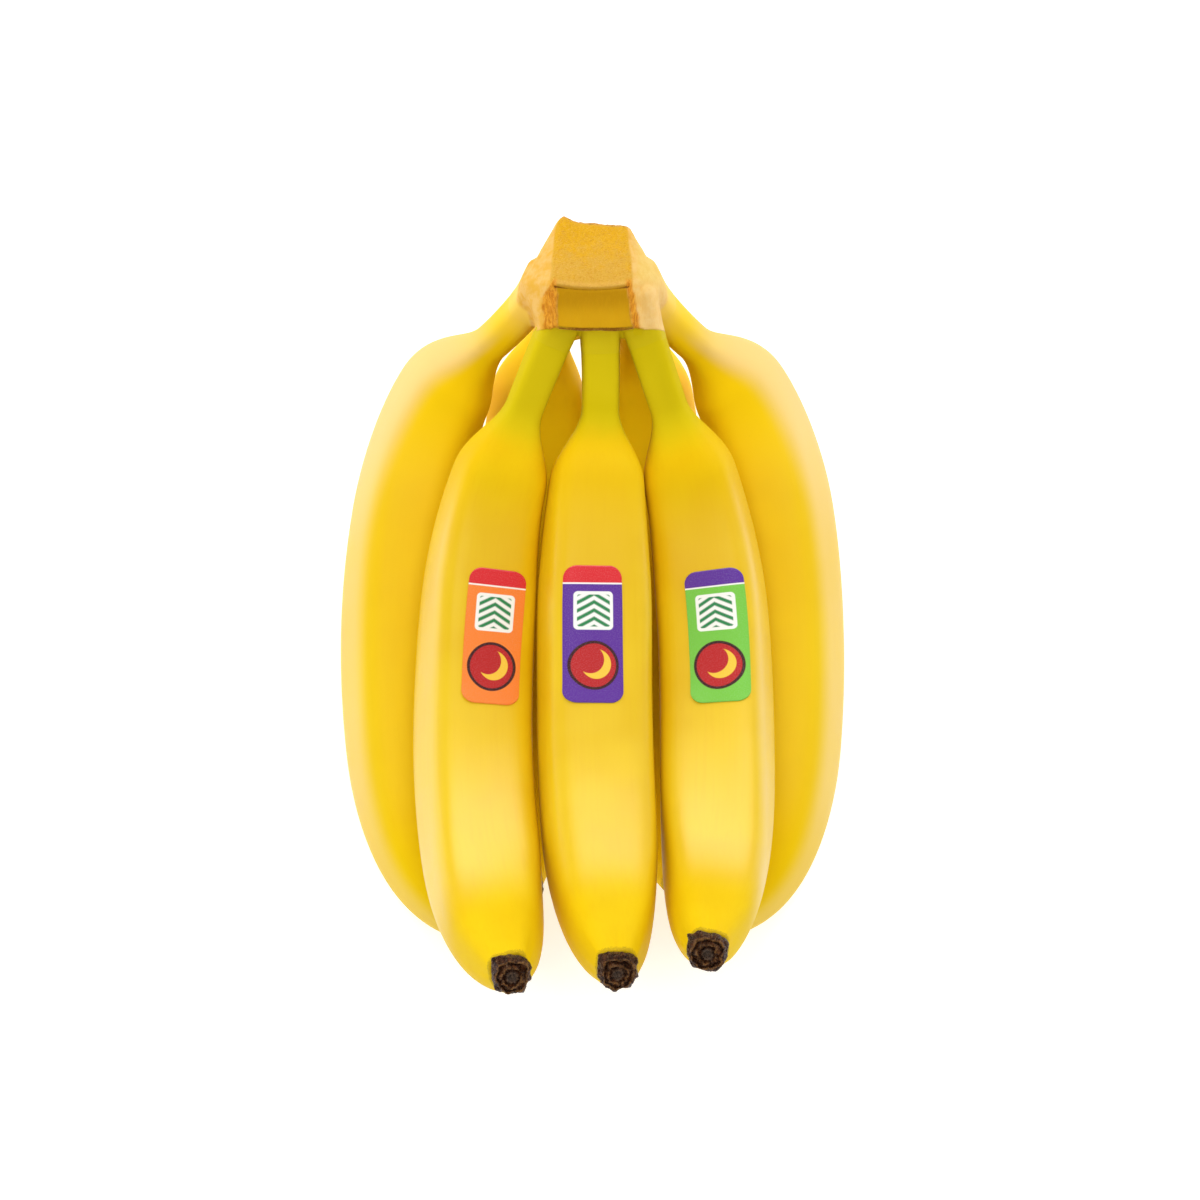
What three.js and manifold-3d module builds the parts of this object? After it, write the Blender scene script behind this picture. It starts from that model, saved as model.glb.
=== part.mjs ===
// A hand of seven bananas, cut from its stalk and laid on its back.
//
// Millimetres. +X runs across the hand, +Y from the blossom ends to the crown, +Z up. The origin is
// under the middle of the hand, on the surface that it lies on.
//
// The hand is drawn in a frame of its own: x across, y towards the crown, z out of its hollow side.
// Three fingers lie in the upper row, in the grooves of the four below. LEAN then tips the hand back
// to the slope at which it lies still, and REST_HEIGHT lifts it until the bellies of the lower four
// are pressed slightly flat by the surface at z = 0.

import * as THREE from "three";
import { ConvexGeometry } from "three/addons/geometries/ConvexGeometry.js";
import { mergeVertices } from "three/addons/utils/BufferGeometryUtils.js";
import Module from "manifold-3d";

const wasm = await Module();
wasm.setup();

// ---------- driving dimensions ----------

const LEAN = THREE.MathUtils.degToRad(15);
const REST_HEIGHT = 60.6;
const MIDDLE_Y = 5.7;
const GAP = 0.3;

// What lies under the surface, cut away from the pressed bellies
const GROUND_WIDTH = 400;
const GROUND_DEPTH = 100;

// One finger, along its centreline from the crown
const BODY_RADIUS = 17.1;
const ROOT_RADIUS = 6.6;
const NECK_RADIUS = 5.7;
const ROOT_FLARE_LENGTH = 9;
const SHOULDER_LENGTH = 23;
const SHOULDER_FULLNESS = 1.35;
const TAPER_FULLNESS = 2.3;
const END_RADIUS = 5.6;
// Past its shoulder a finger is still slimmer by this share, and fills out over this length
const HEAD_SLIMNESS = 0.19;
const HEAD_LENGTH = 62;
const BELLY_SWELL = 0.05;

// Five soft ridges with flat sides between them, which face these ways in degrees. The upper fingers
// have a broad side in the hollow of their curve; the lower ones are even.
const BROAD_SIDES = [0, 84, 148, 212, 276];
const EVEN_SIDES = [0, 72, 144, 216, 288];
const RIDGE_SHARPNESS = 6;
const SHARE_SAMPLES = 90;
const SKIN_SIDES = 20;
// Distances between the rings of the skin, and the length at the tip where they are closer together
const NECK_RING_STEP = 7;
const SHOULDER_RING_STEP = 4;
const BODY_RING_STEP = 10.5;
const TIP_RING_STEP = 5;
const TIP_LENGTH = 48;
// Steps in which a centreline is measured and its frame carried along
const CURVE_DIVISIONS = 400;
const FRAME_STEPS = 200;
// The chord of a finger's curve starts this far past its neck
const CHORD_START = 10;

// The dried flower remnant at a finger's end: distance past the skin, and radius
const BLOSSOM_PROFILE = [
  [GAP, 4.9],
  [1.6, 5.5],
  [3.4, 5.2],
  [4.8, 4.3],
  [4.9, 3.2],
  [4.0, 2.4],
  [4.3, 1.4],
];
const BLOSSOM_NUB_HEIGHT = 5.6;

// A fruit label: a thin round-cornered strip along the finger
const LABEL_WIDTH = 16.5;
const LABEL_LENGTH = 39;
const LABEL_CORNER = 3.5;
const LABEL_LIFT = 0.4;
const LABEL_THICKNESS = 0.25;
const LABEL_COLUMNS = 6;
const LABEL_ROWS = 9;

// Centrelines: the pull points of a smooth spline from the crown to the blossom end
const UPPER_LEFT = [
  [-6.6, 87, 5], [-18.8, 58.5, 0], [-30.5, 28, -5.3], [-34.3, -8.5, -5.5],
  [-35.4, -47, 2.6], [-31.2, -79.5, 20], [-25, -95.5, 47], [-21.7, -99.3, 67],
];
const UPPER_MIDDLE = [
  [2, 86, 5], [3, 57, -1], [0.6, 27.5, 3], [0.7, -7.5, 4.2],
  [0.9, -48.5, 11], [3.1, -82, 28.5], [5.6, -95.5, 47.5], [6.8, -99, 61],
];
const UPPER_RIGHT = [
  [11.5, 88, 5], [19.5, 63.5, 0.5], [30.2, 34, -9.5], [35.8, -2, -10],
  [36.4, -42.5, 1.5], [35.1, -76.5, 21], [32, -90.5, 46], [31, -93.5, 65],
];
const LOWER_OUTER_LEFT = [
  [-12.5, 92.5, -1.5], [-29, 76.5, -27], [-46, 67, -37], [-57, 26, -37.5],
  [-59.5, -30, -35], [-51.8, -82, -26.5], [-38, -95.5, -17],
];
const LOWER_INNER_LEFT = [
  [-6.5, 85, -16], [-12.5, 84, -38.5], [-17, 69, -53], [-17.5, 29, -51.5],
  [-21, -21, -40.5], [-22, -63, -28], [-20, -83, -7],
];
const LOWER_INNER_RIGHT = [
  [6.5, 85, -16], [12, 84, -38.5], [17, 68, -53], [18, 28, -51],
  [20.5, -22, -40.5], [22.5, -64, -28], [26, -82.5, -7],
];
const LOWER_OUTER_RIGHT = [
  [12.5, 92.5, -1.5], [29, 76.5, -27], [46.5, 67, -37], [57, 26, -37.5],
  [59.5, -30, -35], [54, -81.5, -26.5], [40, -94.5, -17],
];

// Each finger: its centreline, the lengths of its neck and of its taper, its flat sides and their turn
// in degrees, and its label's place if it has one, as a distance along it and degrees around it
const FINGERS = [
  {
    name: "upper_left", points: UPPER_LEFT, neck: 34, taper: 60, sides: BROAD_SIDES, turn: 4,
    label: { along: 104.5, around: 0 },
  },
  {
    name: "upper_middle", points: UPPER_MIDDLE, neck: 31, taper: 60, sides: BROAD_SIDES, turn: 2,
    label: { along: 98.5, around: 9 },
  },
  {
    name: "upper_right", points: UPPER_RIGHT, neck: 34, taper: 78, sides: BROAD_SIDES, turn: -5,
    label: { along: 107, around: -14 },
  },
  {
    name: "lower_outer_left", points: LOWER_OUTER_LEFT, neck: 34, taper: 60, sides: EVEN_SIDES, turn: -20,
  },
  {
    name: "lower_inner_left", points: LOWER_INNER_LEFT, neck: 25, taper: 60, sides: EVEN_SIDES, turn: -6,
  },
  {
    name: "lower_inner_right", points: LOWER_INNER_RIGHT, neck: 25, taper: 60, sides: EVEN_SIDES, turn: 3,
  },
  {
    name: "lower_outer_right", points: LOWER_OUTER_RIGHT, neck: 34, taper: 60, sides: EVEN_SIDES, turn: 20,
  },
];

// The crown: the corners that its flat faces span
const CROWN_CORNERS = [
  // The underside
  [-10, 77.5, 13], [12, 77.5, 13], [16.5, 77.5, 8.5], [17.5, 77.5, -9],
  [12, 77.5, -22], [-11, 77.5, -22], [-16, 77.5, -9], [-15, 77.5, 8.5],
  // The waist
  [-11, 90, 16], [11, 90, 16], [20.5, 91.5, 5], [19.5, 91.5, -12],
  [12, 90, -25], [-12, 90, -25], [-19.5, 91.5, -12], [-20.5, 91.5, 5],
  // The cut top
  [-9.3, 110, 3], [9.8, 108.6, 3], [11.5, 108.4, -5], [9, 108.6, -14],
  [-9, 109.6, -14], [-10.8, 109.8, -5],
];

const SKIN = new THREE.MeshStandardMaterial({ color: 0xf2c622, roughness: 0.45, metalness: 0 });
const CROWN_FLESH = new THREE.MeshStandardMaterial({ color: 0xe9b84c, roughness: 0.8, metalness: 0 });
const DRIED_FLOWER = new THREE.MeshStandardMaterial({ color: 0x3b2412, roughness: 0.6, metalness: 0 });
const labelPaper = (color) => new THREE.MeshStandardMaterial({ color, roughness: 0.4, metalness: 0 });
const LABEL_COLORS = { upper_left: 0xf07a2c, upper_middle: 0x5a2d91, upper_right: 0x74c043 };

// ---------- the finger's form ----------

// A uniform cubic B-spline that starts on its first point and ends on its last
class FingerCurve extends THREE.Curve {
  constructor(points) {
    super();
    this.arcLengthDivisions = CURVE_DIVISIONS;
    const pulls = points.map((point) => new THREE.Vector3(...point));
    const before = pulls[0].clone().multiplyScalar(2).sub(pulls[1]);
    const after = pulls.at(-1).clone().multiplyScalar(2).sub(pulls.at(-2));
    this.pulls = [before, ...pulls, after];
  }

  getPoint(t, target = new THREE.Vector3()) {
    const spans = this.pulls.length - 3;
    const span = Math.min(Math.floor(t * spans), spans - 1);
    const u = t * spans - span;
    const weights = [
      (1 - u) ** 3,
      3 * u ** 3 - 6 * u ** 2 + 4,
      -3 * u ** 3 + 3 * u ** 2 + 3 * u + 1,
      u ** 3,
    ];
    target.set(0, 0, 0);
    weights.forEach((weight, k) => target.addScaledVector(this.pulls[span + k], weight / 6));
    return target;
  }
}

const smoothstep = (x) => THREE.MathUtils.smoothstep(x, 0, 1);

// Mean radius at a distance from the crown: root flare, neck, shoulder, belly, and taper to the blossom
function fingerRadius(along, { length, neck, taper }) {
  const belly = THREE.MathUtils.clamp((along - neck) / (length - neck), 0, 1);
  const swollen = BODY_RADIUS * (1 - BELLY_SWELL + BELLY_SWELL * Math.sin(Math.PI * belly));
  const body = swollen * (1 - HEAD_SLIMNESS * (1 - smoothstep((along - neck) / HEAD_LENGTH)));
  const shoulder = 1 - (1 - smoothstep((along - neck) / SHOULDER_LENGTH)) ** SHOULDER_FULLNESS;
  const stem = NECK_RADIUS + (ROOT_RADIUS - NECK_RADIUS) * Math.exp(-along / ROOT_FLARE_LENGTH);
  const full = stem + (body - stem) * shoulder;
  const left = THREE.MathUtils.clamp((length - along) / taper, 0, 1);
  return END_RADIUS + (full - END_RADIUS) * (1 - (1 - left) ** TAPER_FULLNESS);
}

// The five-sided section at an angle from its first side, and the mean of its radii
function sectionRadius(angle, sides) {
  const sum = sides.reduce((total, side) => {
    const facing = Math.cos(angle - THREE.MathUtils.degToRad(side));
    return total + Math.max(0, facing) ** RIDGE_SHARPNESS;
  }, 0);
  return sum ** (-1 / RIDGE_SHARPNESS);
}

function meanSectionRadius(sides) {
  let squares = 0;
  for (let k = 0; k < SHARE_SAMPLES; k += 1) {
    squares += sectionRadius((k * 2 * Math.PI) / SHARE_SAMPLES, sides) ** 2;
  }
  return Math.sqrt(squares / SHARE_SAMPLES);
}

// Gives a finger its length and its skin. around() is a point at a radius, and skin() one on or over
// the skin, at a distance along the centreline and an angle about it.
function makeFinger({ name, points, neck, taper, sides, turn, label }) {
  const curve = new FingerCurve(points);
  const length = curve.getLength();
  const centres = curve.getSpacedPoints(FRAME_STEPS);
  const tangents = centres.map((_, k) => curve.getTangentAt(k / FRAME_STEPS));

  // The hollow side faces from the belly to the chord. It is carried along the curve without twist.
  const first = Math.round(((neck + CHORD_START) / length) * FRAME_STEPS);
  const belly = Math.round((first + FRAME_STEPS) / 2);
  const chordMiddle = centres[first].clone().add(centres[FRAME_STEPS]).multiplyScalar(0.5);
  const hollows = [];
  const carry = (direction, k) => {
    const along = tangents[k].clone().multiplyScalar(direction.dot(tangents[k]));
    hollows[k] = direction.clone().sub(along).normalize();
  };
  carry(chordMiddle.sub(centres[belly]), belly);
  for (let k = belly + 1; k <= FRAME_STEPS; k += 1) {
    carry(hollows[k - 1], k);
  }
  for (let k = belly - 1; k >= 0; k -= 1) {
    carry(hollows[k + 1], k);
  }

  const sideTurn = THREE.MathUtils.degToRad(turn);
  const meanRadius = meanSectionRadius(sides);
  const around = (along, angle, radius) => {
    const place = THREE.MathUtils.clamp((along / length) * FRAME_STEPS, 0, FRAME_STEPS);
    const k = Math.min(Math.floor(place), FRAME_STEPS - 1);
    const share = place - k;
    const centre = centres[k].clone().lerp(centres[k + 1], share);
    const tangent = tangents[k].clone().lerp(tangents[k + 1], share).normalize();
    const hollow = hollows[k].clone().lerp(hollows[k + 1], share).normalize();
    const side = tangent.clone().cross(hollow);
    const beyond = along - THREE.MathUtils.clamp(along, 0, length);
    const reach = (radius * sectionRadius(angle - sideTurn, sides)) / meanRadius;
    return centre
      .addScaledVector(tangent, beyond)
      .addScaledVector(hollow, reach * Math.cos(angle))
      .addScaledVector(side, reach * Math.sin(angle));
  };
  const radiusAt = (along) => fingerRadius(along, { length, neck, taper });
  const skin = (along, angle, lift = 0) => around(along, angle, radiusAt(along) + lift);
  return { name, length, neck, taper, sideTurn, label, radiusAt, around, skin };
}

// ---------- closed meshes ----------

// Rings of points, closed by a fan to a point at each end
function ringedGeometry(rings, startPoint, endPoint) {
  const sides = rings[0].length;
  const vertices = [...rings.flat(), startPoint, endPoint];
  const start = vertices.length - 2;
  const end = vertices.length - 1;
  const triangles = [];
  for (let j = 0; j < sides; j += 1) {
    const next = (j + 1) % sides;
    const last = (rings.length - 1) * sides;
    triangles.push(start, next, j);
    triangles.push(end, last + j, last + next);
    for (let i = 0; i + 1 < rings.length; i += 1) {
      const a = i * sides + j;
      const b = i * sides + next;
      triangles.push(a, b, b + sides);
      triangles.push(a, b + sides, a + sides);
    }
  }
  const geometry = new THREE.BufferGeometry().setFromPoints(vertices);
  geometry.setIndex(triangles);
  return geometry;
}

function toManifold(geometry) {
  const bare = geometry.clone();
  bare.deleteAttribute("normal");
  bare.deleteAttribute("uv");
  const merged = mergeVertices(bare, 1e-4);
  return new wasm.Manifold(
    new wasm.Mesh({
      numProp: 3,
      vertProperties: new Float32Array(merged.attributes.position.array),
      triVerts: new Uint32Array(merged.index.array),
    }),
  );
}

function toGeometry(solid) {
  const mesh = solid.getMesh();
  const geometry = new THREE.BufferGeometry();
  geometry.setAttribute("position", new THREE.BufferAttribute(mesh.vertProperties, 3));
  geometry.setIndex(new THREE.BufferAttribute(mesh.triVerts, 1));
  return geometry;
}

// The piece that is left of a cut when its scraps are dropped
function largestPart(solid) {
  return solid.decompose().reduce((best, part) => (part.volume() > best.volume() ? part : best));
}

// From the hand's own frame to where it lies
const LYING = new THREE.Matrix4()
  .makeTranslation(0, MIDDLE_Y, REST_HEIGHT)
  .multiply(new THREE.Matrix4().makeRotationX(LEAN));

const group = new THREE.Group();

function addMesh(name, geometry, material) {
  geometry.computeVertexNormals();
  const mesh = new THREE.Mesh(geometry, material);
  mesh.name = name;
  group.add(mesh);
}

// ---------- the crown ----------

function crownGeometry(margin) {
  const shifts = margin > 0 ? [-margin, margin] : [0];
  const points = [];
  for (const [x, y, z] of CROWN_CORNERS) {
    for (const side of shifts) {
      for (const rise of shifts) {
        for (const depth of shifts) {
          points.push(new THREE.Vector3(x + side, y + rise, z + depth));
        }
      }
    }
  }
  return new ConvexGeometry(points).applyMatrix4(LYING);
}

// ---------- the fingers ----------

// Distances along a finger for its rings, closer together where the form turns quickly
function ringStations({ length, neck }) {
  const shoulderEnd = neck + SHOULDER_LENGTH;
  const tipStart = length - TIP_LENGTH;
  const stretches = [
    [0, neck, NECK_RING_STEP],
    [neck, shoulderEnd, SHOULDER_RING_STEP],
    [shoulderEnd, tipStart, BODY_RING_STEP],
    [tipStart, length, TIP_RING_STEP],
  ];
  const stations = [0];
  for (const [from, to, step] of stretches) {
    const steps = Math.max(1, Math.round((to - from) / step));
    for (let k = 1; k <= steps; k += 1) {
      stations.push(from + ((to - from) * k) / steps);
    }
  }
  return stations;
}

const ringAngles = (sides) => Array.from({ length: sides }, (_, j) => (j * 2 * Math.PI) / sides);

function fingerGeometry(finger) {
  const angles = ringAngles(SKIN_SIDES);
  const rings = ringStations(finger).map((along) =>
    angles.map((angle) => finger.skin(along, angle + finger.sideTurn)),
  );
  const middle = (ring) =>
    ring.reduce((sum, point) => sum.add(point), new THREE.Vector3()).divideScalar(ring.length);
  return ringedGeometry(rings, middle(rings[0]), middle(rings.at(-1))).applyMatrix4(LYING);
}

// The dried flower: crumpled rings round a small nub, just past the end of the skin
function blossomGeometry(finger) {
  const angles = ringAngles(SKIN_SIDES / 2);
  const rings = BLOSSOM_PROFILE.map(([past, radius]) =>
    angles.map((angle) => finger.around(finger.length + past, angle + finger.sideTurn, radius)),
  );
  const base = finger.around(finger.length + GAP, 0, 0);
  const nub = finger.around(finger.length + BLOSSOM_NUB_HEIGHT, 0, 0);
  return ringedGeometry(rings, base, nub).applyMatrix4(LYING);
}

// A thin strip that follows the skin, with round corners
function labelGeometry(finger) {
  const { along, around } = finger.label;
  const centreAngle = THREE.MathUtils.degToRad(around);
  const halfWidth = LABEL_WIDTH / 2;
  const halfLength = LABEL_LENGTH / 2;
  const radius = finger.radiusAt(along);
  const span = finger.skin(along + 1, centreAngle).distanceTo(finger.skin(along - 1, centreAngle));
  const stretch = span / 2;
  const reach = (across) => {
    const past = Math.max(0, Math.abs(across) - (halfWidth - LABEL_CORNER));
    return halfLength - LABEL_CORNER + Math.sqrt(LABEL_CORNER ** 2 - past ** 2);
  };
  const sheet = (lift) => {
    const points = [];
    for (let i = 0; i <= LABEL_COLUMNS; i += 1) {
      const across = -halfWidth * Math.cos((Math.PI * i) / LABEL_COLUMNS);
      for (let j = 0; j <= LABEL_ROWS; j += 1) {
        const up = reach(across) * ((2 * j) / LABEL_ROWS - 1);
        points.push(finger.skin(along + up / stretch, centreAngle + across / radius, lift));
      }
    }
    return points;
  };
  const vertices = [...sheet(LABEL_LIFT), ...sheet(LABEL_LIFT + LABEL_THICKNESS)];
  const top = (LABEL_COLUMNS + 1) * (LABEL_ROWS + 1);
  const at = (i, j) => i * (LABEL_ROWS + 1) + j;
  const triangles = [];
  const quad = (a, b, c, d) => triangles.push(a, c, b, a, d, c);
  // The strip's edge between two points of its underside, up to its upper side
  const edge = (a, b) => quad(a, top + a, top + b, b);
  for (let i = 0; i < LABEL_COLUMNS; i += 1) {
    for (let j = 0; j < LABEL_ROWS; j += 1) {
      quad(top + at(i, j), top + at(i, j + 1), top + at(i + 1, j + 1), top + at(i + 1, j));
      quad(at(i, j), at(i + 1, j), at(i + 1, j + 1), at(i, j + 1));
    }
    edge(at(i, 0), at(i + 1, 0));
    edge(at(i + 1, LABEL_ROWS), at(i, LABEL_ROWS));
  }
  for (let j = 0; j < LABEL_ROWS; j += 1) {
    edge(at(0, j + 1), at(0, j));
    edge(at(LABEL_COLUMNS, j), at(LABEL_COLUMNS, j + 1));
  }
  const geometry = new THREE.BufferGeometry().setFromPoints(vertices);
  geometry.setIndex(triangles);
  return geometry.applyMatrix4(LYING);
}

// ---------- the hand ----------

const groundBox = new THREE.BoxGeometry(GROUND_WIDTH, GROUND_WIDTH, GROUND_DEPTH);
const ground = toManifold(groundBox.translate(0, 0, -GROUND_DEPTH / 2));
const crownRoom = toManifold(crownGeometry(GAP));

addMesh("crown", crownGeometry(0), CROWN_FLESH);
for (const spec of FINGERS) {
  const finger = makeFinger(spec);
  const whole = toManifold(fingerGeometry(finger));
  const solid = largestPart(whole.subtract(crownRoom).subtract(ground));
  addMesh(`banana_${spec.name}`, toGeometry(solid), SKIN);
  addMesh(`blossom_tip_${spec.name}`, blossomGeometry(finger), DRIED_FLOWER);
  if (finger.label) {
    addMesh(`label_${spec.name}`, labelGeometry(finger), labelPaper(LABEL_COLORS[spec.name]));
  }
}

export default group;
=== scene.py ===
"""The looks of a hand of seven bananas that lies on its back.

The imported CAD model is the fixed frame. Each finger is skinned anew along its own centreline with a
finer, softly ridged form. The crown, the dried flower tips and the fruit labels are rebuilt on the
same outlines with the detail of the real ones. Lengths are in millimetres until a mesh is made.

The hand is drawn in a frame of its own: x across, y towards the crown, z out of its hollow side.
LEAN and the two shifts after it lay it down in the frame of the CAD model.
"""

import math

import bmesh
import bpy
import numpy as np
from mathutils import Euler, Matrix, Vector, noise


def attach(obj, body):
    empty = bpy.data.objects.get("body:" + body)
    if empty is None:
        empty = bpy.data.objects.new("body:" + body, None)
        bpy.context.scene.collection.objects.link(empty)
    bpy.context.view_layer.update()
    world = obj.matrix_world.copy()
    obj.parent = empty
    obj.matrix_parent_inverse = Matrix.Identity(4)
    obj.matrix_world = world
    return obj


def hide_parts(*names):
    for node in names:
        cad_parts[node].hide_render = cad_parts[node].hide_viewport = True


MM = 0.001
BODY = "root"

# ---------- the hand's driving dimensions, as in the CAD model ----------

LEAN = math.radians(15)
REST_HEIGHT = 60.6
MIDDLE_Y = 5.7

BODY_RADIUS = 17.1
ROOT_RADIUS = 6.6
NECK_RADIUS = 5.7
ROOT_FLARE_LENGTH = 9
SHOULDER_LENGTH = 23
SHOULDER_FULLNESS = 1.35
TAPER_FULLNESS = 2.3
END_RADIUS = 5.6
# Past its shoulder the finger is still slimmer by this share, and fills out over this length
HEAD_SLIMNESS = 0.19
HEAD_LENGTH = 62
BELLY_SWELL = 0.05
# The ways that the flat sides face, in degrees
BROAD_SIDES = [0, 84, 148, 212, 276]
EVEN_SIDES = [0, 72, 144, 216, 288]
CHORD_START = 10
FRAME_STEPS = 400
CURVE_POINTS = 4001

LABEL_WIDTH = 16.5
LABEL_LENGTH = 39
LABEL_CORNER = 3.5

UPPER_LEFT = [
    (-6.6, 87, 5), (-18.8, 58.5, 0), (-30.5, 28, -5.3), (-34.3, -8.5, -5.5),
    (-35.4, -47, 2.6), (-31.2, -79.5, 20), (-25, -95.5, 47), (-21.7, -99.3, 67),
]
UPPER_MIDDLE = [
    (2, 86, 5), (3, 57, -1), (0.6, 27.5, 3), (0.7, -7.5, 4.2),
    (0.9, -48.5, 11), (3.1, -82, 28.5), (5.6, -95.5, 47.5), (6.8, -99, 61),
]
UPPER_RIGHT = [
    (11.5, 88, 5), (19.5, 63.5, 0.5), (30.2, 34, -9.5), (35.8, -2, -10),
    (36.4, -42.5, 1.5), (35.1, -76.5, 21), (32, -90.5, 46), (31, -93.5, 65),
]
LOWER_OUTER_LEFT = [
    (-12.5, 92.5, -1.5), (-29, 76.5, -27), (-46, 67, -37), (-57, 26, -37.5),
    (-59.5, -30, -35), (-51.8, -82, -26.5), (-38, -95.5, -17),
]
LOWER_INNER_LEFT = [
    (-6.5, 85, -16), (-12.5, 84, -38.5), (-17, 69, -53), (-17.5, 29, -51.5),
    (-21, -21, -40.5), (-22, -63, -28), (-20, -83, -7),
]
LOWER_INNER_RIGHT = [
    (6.5, 85, -16), (12, 84, -38.5), (17, 68, -53), (18, 28, -51),
    (20.5, -22, -40.5), (22.5, -64, -28), (26, -82.5, -7),
]
LOWER_OUTER_RIGHT = [
    (12.5, 92.5, -1.5), (29, 76.5, -27), (46.5, 67, -37), (57, 26, -37.5),
    (59.5, -30, -35), (54, -81.5, -26.5), (40, -94.5, -17),
]

# The crown's front edges, as y and z: under the smooth facet, over it, and at the cut top
FOOT = (77.5, 13)
WAIST = (90, 16)
TOP = (109.3, 3)

CROWN_CORNERS = [
    # The underside
    (-10, *FOOT), (12, *FOOT), (16.5, 77.5, 8.5), (17.5, 77.5, -9),
    (12, 77.5, -22), (-11, 77.5, -22), (-16, 77.5, -9), (-15, 77.5, 8.5),
    # The waist
    (-11, *WAIST), (11, *WAIST), (20.5, 91.5, 5), (19.5, 91.5, -12),
    (12, 90, -25), (-12, 90, -25), (-19.5, 91.5, -12), (-20.5, 91.5, 5),
    # The cut top
    (-9.3, 110, 3), (9.8, 108.6, 3), (11.5, 108.4, -5), (9, 108.6, -14),
    (-9, 109.6, -14), (-10.8, 109.8, -5),
]

# ---------- the finer form that only the render has ----------

# The skin's rings: how many sides, how far apart on each stretch, and how long the end's stretch is
SKIN_SIDES = 84
NECK_STEP = 1.12
BODY_STEP = 1.25
END_STEP = 0.48
END_STRETCH = 14
# How crisp the ridges are on the body, at the neck and at the end, and where the end's form starts and
# has settled, before the skin's end
RIDGE_SHARPNESS = 6.2
NECK_SHARPNESS = 4.8
END_SHARPNESS = 4.5
END_REGION = 85
END_SETTLED = 15
# Skin lower than this is pressed flat on the surface, with a soft edge
PRESS_REACH = 4
PRESS_SOFTNESS = 0.35

# Past the skin's end, and radius: the lip that the dried flower sits in, and how deep its cup is
SKIN_LIP = [(0.2, 5.35), (0.3, 4.9), (0.1, 4.4), (-0.8, 4.0)]
CUP_DEPTH = 1.6

# The dried flower: distance past the skin's end, and radius, from its base to its middle
BLOSSOM_RINGS = [
    (-0.9, 3.9), (-0.1, 4.7), (0.8, 5.25), (1.7, 5.45), (2.7, 5.35), (3.6, 5.0), (4.3, 4.6), (4.5, 4.2),
    (4.0, 3.85), (3.5, 3.65), (3.7, 3.45), (4.4, 3.25), (4.85, 2.95), (4.9, 2.6), (4.4, 2.3), (3.9, 2.1),
    (4.0, 1.85), (4.5, 1.55), (4.7, 1.25), (4.5, 0.95), (4.5, 0.7), (5.1, 0.42), (5.4, 0.15),
]
BLOSSOM_SIDES = 96
BLOSSOM_RING_COUNT = 96
# Its two ends from the skin's end, and by how many of the rings above its folds wander in and out
BLOSSOM_DEPTH = 1.2
BLOSSOM_HEIGHT = 5.2
BLOSSOM_DRIFT = 3.8

LABEL_LIFT = 0.12
LABEL_THICKNESS = 0.16
LABEL_COLUMNS = 44
LABEL_ROWS = 96
# The upper corner on the right stands off the skin by this, fading over this distance
CORNER_LIFT = 0.3
CORNER_REACH = 3
# The print, from the label's middle: where the end band starts, the panel's and the disc's middles
BAND_EDGE = 14.6
PANEL_MIDDLE = 7.0
DISC_MIDDLE = -8.6
STRIPE_SLOPE = 0.55
STRIPE_PITCH = 2.3
PRINT_BLUR = 0.12

# The size of the crown's faces, and how rounded its edges are
CROWN_VOXEL = 0.6
CROWN_EDGE = 0.35

# ---------- colours, as shown on a screen ----------


def srgb(code):
    """Six hex digits as a linear colour."""
    values = [int(code[k:k + 2], 16) / 255 for k in (0, 2, 4)]
    linear = [v / 12.92 if v <= 0.04045 else ((v + 0.055) / 1.055) ** 2.4 for v in values]
    return (*linear, 1.0)


# ---------- a finger's form ----------


def smoothstep(x):
    x = np.clip(x, 0, 1)
    return x * x * (3 - 2 * x)


def over(value, edge, soft):
    """1 above an edge and 0 below it, softly."""
    return smoothstep((value - edge) / soft + 0.5)


def under(value, edge, soft):
    return smoothstep((edge - value) / soft + 0.5)


def between(value, low, high, soft):
    return over(value, low, soft) * under(value, high, soft)


def unit(vectors):
    return vectors / np.linalg.norm(vectors, axis=-1, keepdims=True)


def rows_at(places, stations, rows):
    """What the rows of an array, one at each station, come to at places between them."""
    return np.stack([np.interp(places, stations, column) for column in rows.T], axis=-1)


# How four neighbouring points weigh in each power of the way between the middle two. A B-spline is
# pulled by its points, and the other curve runs through them.
PULLED = np.array([(1, 4, 1, 0), (-3, 0, 3, 0), (3, -6, 3, 0), (-1, 3, -3, 1)]) / 6
JOINED = np.array([(0, 2, 0, 0), (-1, 0, 1, 0), (2, -5, 4, -1), (-1, 3, -3, 1)]) / 2


def curve(points, place, weights):
    """Points on a smooth curve, from its first point at place 0 to its last at their number less one."""
    points = np.array(points, float)
    padded = np.vstack([2 * points[0] - points[1], points, 2 * points[-1] - points[-2]])
    place = np.clip(place, 0, len(points) - 1)
    first = np.minimum(place.astype(int), len(points) - 2)
    way = (place - first)[..., None]
    return sum(
        weight * way ** power * padded[first + k]
        for power, row in enumerate(weights) for k, weight in enumerate(row)
    )


# The ridge sharpnesses that a section's mean radius is worked out for
SHARPNESSES = np.linspace(3, 12, 37)


class Section:
    """A soft five-sided outline, of mean radius 1. Its first side faces angle 0."""

    def __init__(self, sides):
        self.sides = [math.radians(side) for side in sides]
        ring = np.linspace(0, math.tau, 90, endpoint=False)
        self.means = [math.sqrt(np.mean(self.outline(ring, sharpness) ** 2)) for sharpness in SHARPNESSES]

    def outline(self, angle, sharpness):
        total = sum(np.maximum(0, np.cos(angle - side)) ** sharpness for side in self.sides)
        return total ** (-1 / sharpness)

    def radius(self, angle, sharpness):
        return self.outline(angle, sharpness) / np.interp(sharpness, SHARPNESSES, self.means)


BROAD = Section(BROAD_SIDES)
EVEN = Section(EVEN_SIDES)


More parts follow.
